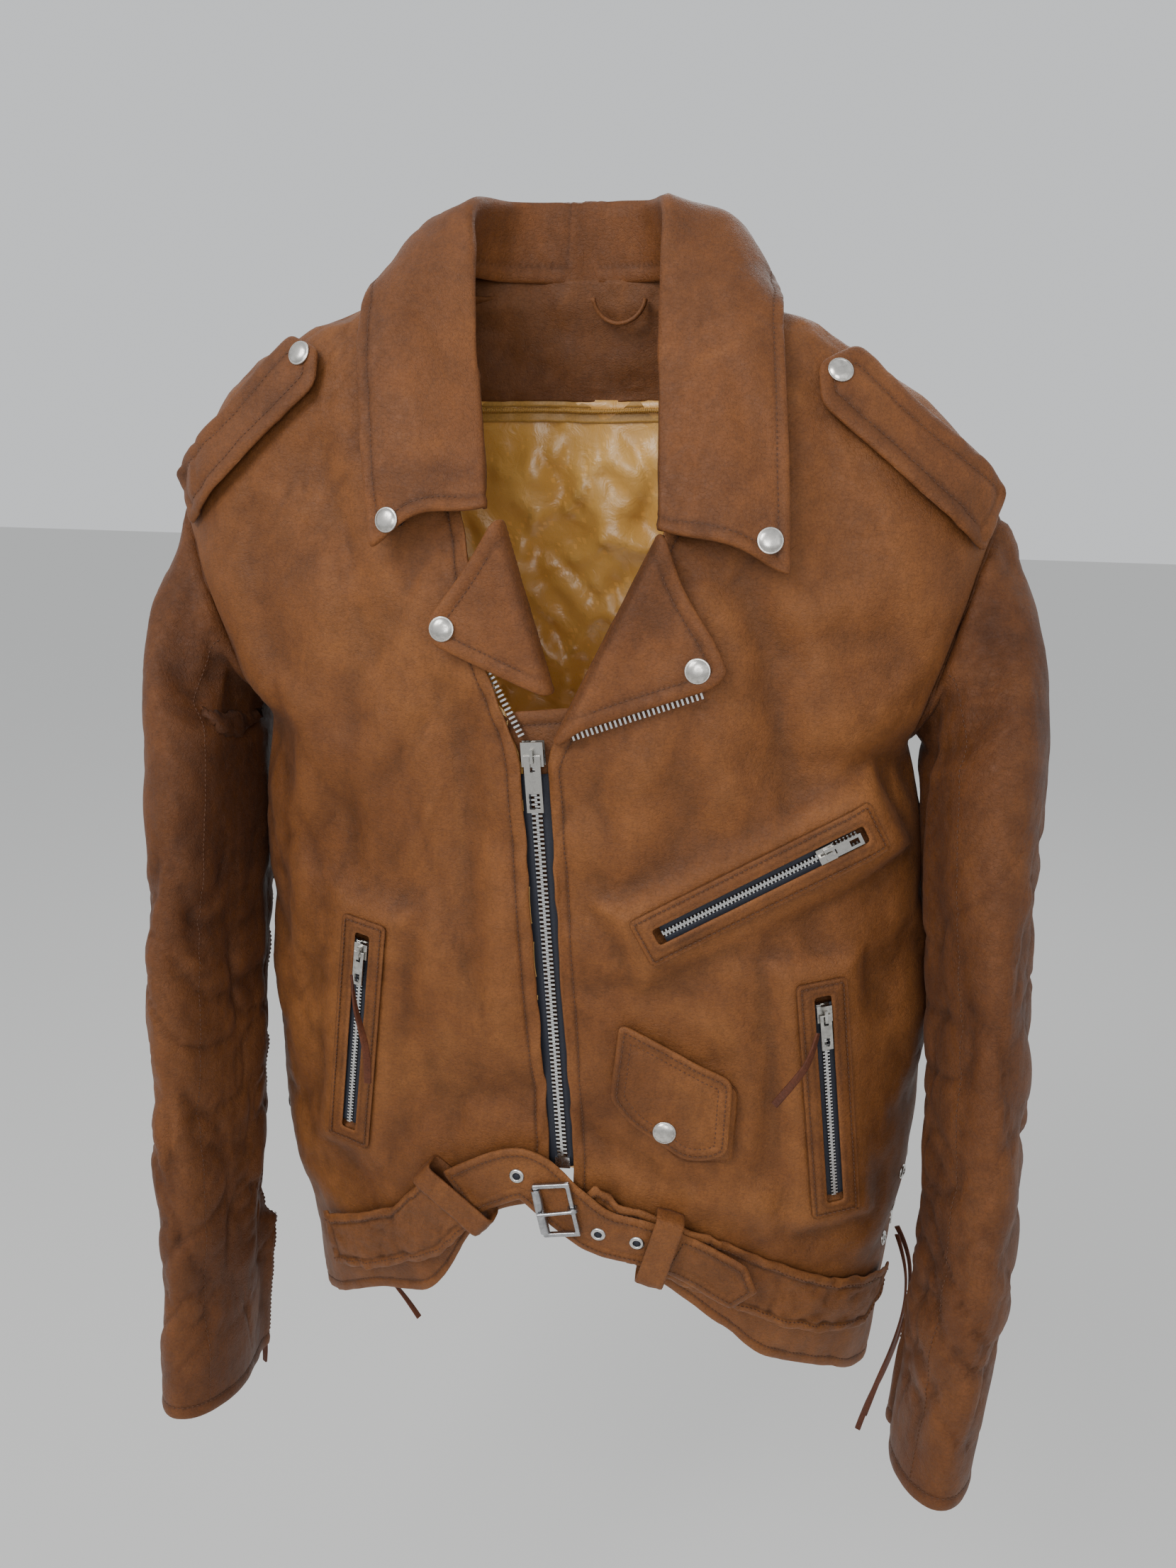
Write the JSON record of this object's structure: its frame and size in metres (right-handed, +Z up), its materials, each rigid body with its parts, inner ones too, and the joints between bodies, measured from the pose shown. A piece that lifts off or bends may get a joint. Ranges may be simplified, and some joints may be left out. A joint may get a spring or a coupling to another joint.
{
  "type": "leather riding jacket",
  "caption": "Tan leather riding jacket with an asymmetric zip, snap-down collar and lapels, epaulettes, zip pockets, belt and side laces, hung by its neck.",
  "frame": {"origin": "middle of the neck base, where a hanger carries the shoulders", "axes": "+Z up, the front faces -Y, +X is the wearer's left"},
  "size_m": [0.6117, 0.3033, 0.888],
  "materials": {
    "body_leather": "waxed matt tan hide, mottled, fine grain",
    "sleeve_leather": "waxed matt tan hide, creased, darker",
    "collar_leather": "two layers of tan hide with turned edges",
    "belt_leather": "tan hide, crinkled",
    "facing_leather": "tan hide, smooth side",
    "lace_leather": "cut strips of reddish hide",
    "lining_satin": "gold acetate satin, crumpled",
    "zip_tape": "dark navy cotton tape",
    "liner_coil": "gold nylon coil",
    "zip_teeth": "bright aluminium teeth",
    "zip_metal": "plated zinc, handled",
    "snap_nickel": "brushed nickel caps",
    "eyelet_nickel": "nickel plate",
    "buckle_steel": "nickel-plated steel wire"
  },
  "bodies": {
    "root": {"back_panel": "body_leather", "right_front_panel": "body_leather", "left_front_panel": "body_leather", "body_lining": "lining_satin", "inner_facings": "facing_leather", "liner_zip": "liner_coil", "hang_loop": "facing_leather", "collar_stand": "collar_leather", "snap_studs": "snap_nickel", "main_zip_teeth": "zip_teeth", "zip_tapes": "zip_tape", "pocket_zip_teeth": "zip_teeth", "pocket_welts": "body_leather", "pocket_bags": "lining_satin", "coin_pocket": "body_leather", "belt_bands": "belt_leather", "belt_tongue": "belt_leather", "belt_loops": "belt_leather", "buckle_frame": "buckle_steel", "eyelets": "eyelet_nickel", "left_side_lace": "lace_leather", "left_side_lace_end": "lace_leather", "right_side_lace": "lace_leather"},
    "right_collar": {"right_collar_leaf": "collar_leather", "right_collar_snap": "snap_nickel"},
    "right_lapel_fold": {"right_lapel": "collar_leather", "right_lapel_snap": "snap_nickel"},
    "right_epaulette_strap": {"right_epaulette": "body_leather", "right_epaulette_snap": "snap_nickel"},
    "left_collar": {"left_collar_leaf": "collar_leather", "left_collar_snap": "snap_nickel"},
    "left_lapel_fold": {"left_lapel": "collar_leather", "left_lapel_snap": "snap_nickel", "left_open_teeth": "zip_teeth"},
    "left_epaulette_strap": {"left_epaulette": "body_leather", "left_epaulette_snap": "snap_nickel"},
    "main_slider": {"main_slider": "zip_metal"},
    "main_puller": {"main_puller": "zip_metal"},
    "chest_pocket_slider": {"chest_pocket_slider": "zip_metal"},
    "chest_pocket_puller": {"chest_pocket_puller": "zip_metal"},
    "right_pocket_slider": {"right_pocket_slider": "zip_metal"},
    "right_pocket_puller": {"right_pocket_puller": "zip_metal", "right_pull_tie": "lace_leather"},
    "left_pocket_slider": {"left_pocket_slider": "zip_metal"},
    "left_pocket_puller": {"left_pocket_puller": "zip_metal", "left_pull_tie": "lace_leather"},
    "coin_flap": {"coin_flap": "body_leather", "coin_flap_snap": "snap_nickel"},
    "buckle_roller": {"buckle_roller": "buckle_steel"},
    "buckle_prong": {"buckle_prong": "buckle_steel"},
    "belt_tail": {"belt_tail": "belt_leather"},
    "right_sleeve": {"right_sleeve": "sleeve_leather", "right_sleeve_lining": "lining_satin", "right_cuff_zip": "zip_teeth"},
    "right_cuff_slider": {"right_cuff_slider": "zip_metal", "right_cuff_tie": "lace_leather"},
    "left_sleeve": {"left_sleeve": "sleeve_leather", "left_sleeve_lining": "lining_satin", "left_cuff_zip": "zip_teeth"},
    "left_cuff_slider": {"left_cuff_slider": "zip_metal"}
  },
  "joints": [
    {"name": "right_collar_lift", "type": "hinge", "parent": "root", "child": "right_collar", "pos_m": [-0.072, -0.006, 0.07], "axis": [-0.1322, 0.427, 0.8946], "range_deg": [0, 75]},
    {"name": "right_lapel_lift", "type": "hinge", "parent": "root", "child": "right_lapel_fold", "pos_m": [-0.04, -0.098, -0.117], "axis": [-0.3998, 0.1473, 0.9047], "range_deg": [0, 100]},
    {"name": "right_epaulette_lift", "type": "hinge", "parent": "root", "child": "right_epaulette_strap", "pos_m": [-0.16748, -0.04229, -0.01596], "axis": [-0.4513, 0.5742, 0.6831], "range_deg": [0, 40]},
    {"name": "left_collar_lift", "type": "hinge", "parent": "root", "child": "left_collar", "pos_m": [0.049, -0.006, 0.069], "axis": [0.0782, -0.4203, -0.904], "range_deg": [0, 75]},
    {"name": "left_lapel_lift", "type": "hinge", "parent": "root", "child": "left_lapel_fold", "pos_m": [0.064, -0.099, -0.124], "axis": [-0.4502, -0.1183, -0.8851], "range_deg": [0, 60]},
    {"name": "left_epaulette_lift", "type": "hinge", "parent": "root", "child": "left_epaulette_strap", "pos_m": [0.15428, -0.03219, -0.0217], "axis": [-0.2664, -0.7674, -0.5833], "range_deg": [0, 40]},
    {"name": "main_zip_run", "type": "slide", "parent": "root", "child": "main_slider", "axis": [0.0791, -0.0449, -0.9959], "range_m": [0, 0.26615], "deforming": ["main_zip_teeth"]},
    {"name": "main_puller_swing", "type": "hinge", "parent": "main_slider", "child": "main_puller", "pos_m": [-0.01102, -0.11067, -0.24981], "axis": [-0.9969, 0, -0.0792], "range_deg": [0, 140]},
    {"name": "chest_pocket_zip_run", "type": "slide", "parent": "root", "child": "chest_pocket_slider", "axis": [0.859, 0.1996, 0.4715], "range_m": [-0.10307, 0.01966], "deforming": ["pocket_zip_teeth"]},
    {"name": "chest_pocket_puller_swing", "type": "hinge", "parent": "chest_pocket_slider", "child": "chest_pocket_puller", "pos_m": [0.17025, -0.10231, -0.30358], "axis": [0.4737, 0.0393, -0.8798], "range_deg": [0, 120]},
    {"name": "right_pocket_zip_run", "type": "slide", "parent": "root", "child": "right_pocket_slider", "axis": [0.1188, 0.0027, 0.9929], "range_m": [-0.12673, 0.0036], "deforming": ["pocket_zip_teeth"]},
    {"name": "right_pocket_puller_swing", "type": "hinge", "parent": "right_pocket_slider", "child": "right_pocket_puller", "pos_m": [-0.1289, -0.11214, -0.39333], "axis": [-0.9602, 0.255, 0.1141], "range_deg": [0, 90]},
    {"name": "left_pocket_zip_run", "type": "slide", "parent": "root", "child": "left_pocket_slider", "axis": [-0.1237, -0.0185, 0.9921], "range_m": [-0.12784, 0.00363], "deforming": ["pocket_zip_teeth"]},
    {"name": "left_pocket_puller_swing", "type": "hinge", "parent": "left_pocket_slider", "child": "left_pocket_puller", "pos_m": [0.17732, -0.10623, -0.41037], "axis": [-0.9251, -0.3595, -0.1221], "range_deg": [0, 90]},
    {"name": "coin_flap_lift", "type": "hinge", "parent": "root", "child": "coin_flap", "pos_m": [0.04837, -0.1225, -0.42077], "axis": [-0.8983, -0.0453, 0.437], "range_deg": [0, 150]},
    {"name": "buckle_roller_turn", "type": "hinge", "parent": "root", "child": "buckle_roller", "pos_m": [-0.00118, -0.13436, -0.56242], "axis": [-0.1987, -0.0134, 0.98], "continuous": true},
    {"name": "buckle_prong_lift", "type": "hinge", "parent": "root", "child": "buckle_prong", "pos_m": [0.02117, -0.13444, -0.55789], "axis": [-0.1987, -0.0134, 0.98], "range_deg": [0, 110]},
    {"name": "belt_tail_lift", "type": "hinge", "parent": "root", "child": "belt_tail", "pos_m": [0.08942, -0.12331, -0.59056], "axis": [-0.3918, 0.0341, -0.9194], "range_deg": [0, 20]},
    {"name": "right_sleeve_swing", "type": "hinge", "parent": "root", "child": "right_sleeve", "pos_m": [-0.27, 0, -0.103], "axis": [0, 1, 0], "range_deg": [0, 35]},
    {"name": "right_cuff_zip_run", "type": "slide", "parent": "right_sleeve", "child": "right_cuff_slider", "axis": [-0.0113, 0.2925, 0.9562], "range_m": [0, 0.062], "deforming": ["right_cuff_zip"]},
    {"name": "left_sleeve_swing", "type": "hinge", "parent": "root", "child": "left_sleeve", "pos_m": [0.265, 0, -0.103], "axis": [0, -1, 0], "range_deg": [0, 35]},
    {"name": "left_cuff_zip_run", "type": "slide", "parent": "left_sleeve", "child": "left_cuff_slider", "axis": [0.0872, 0.3084, 0.9473], "range_m": [0, 0.062], "deforming": ["left_cuff_zip"]}
  ]
}
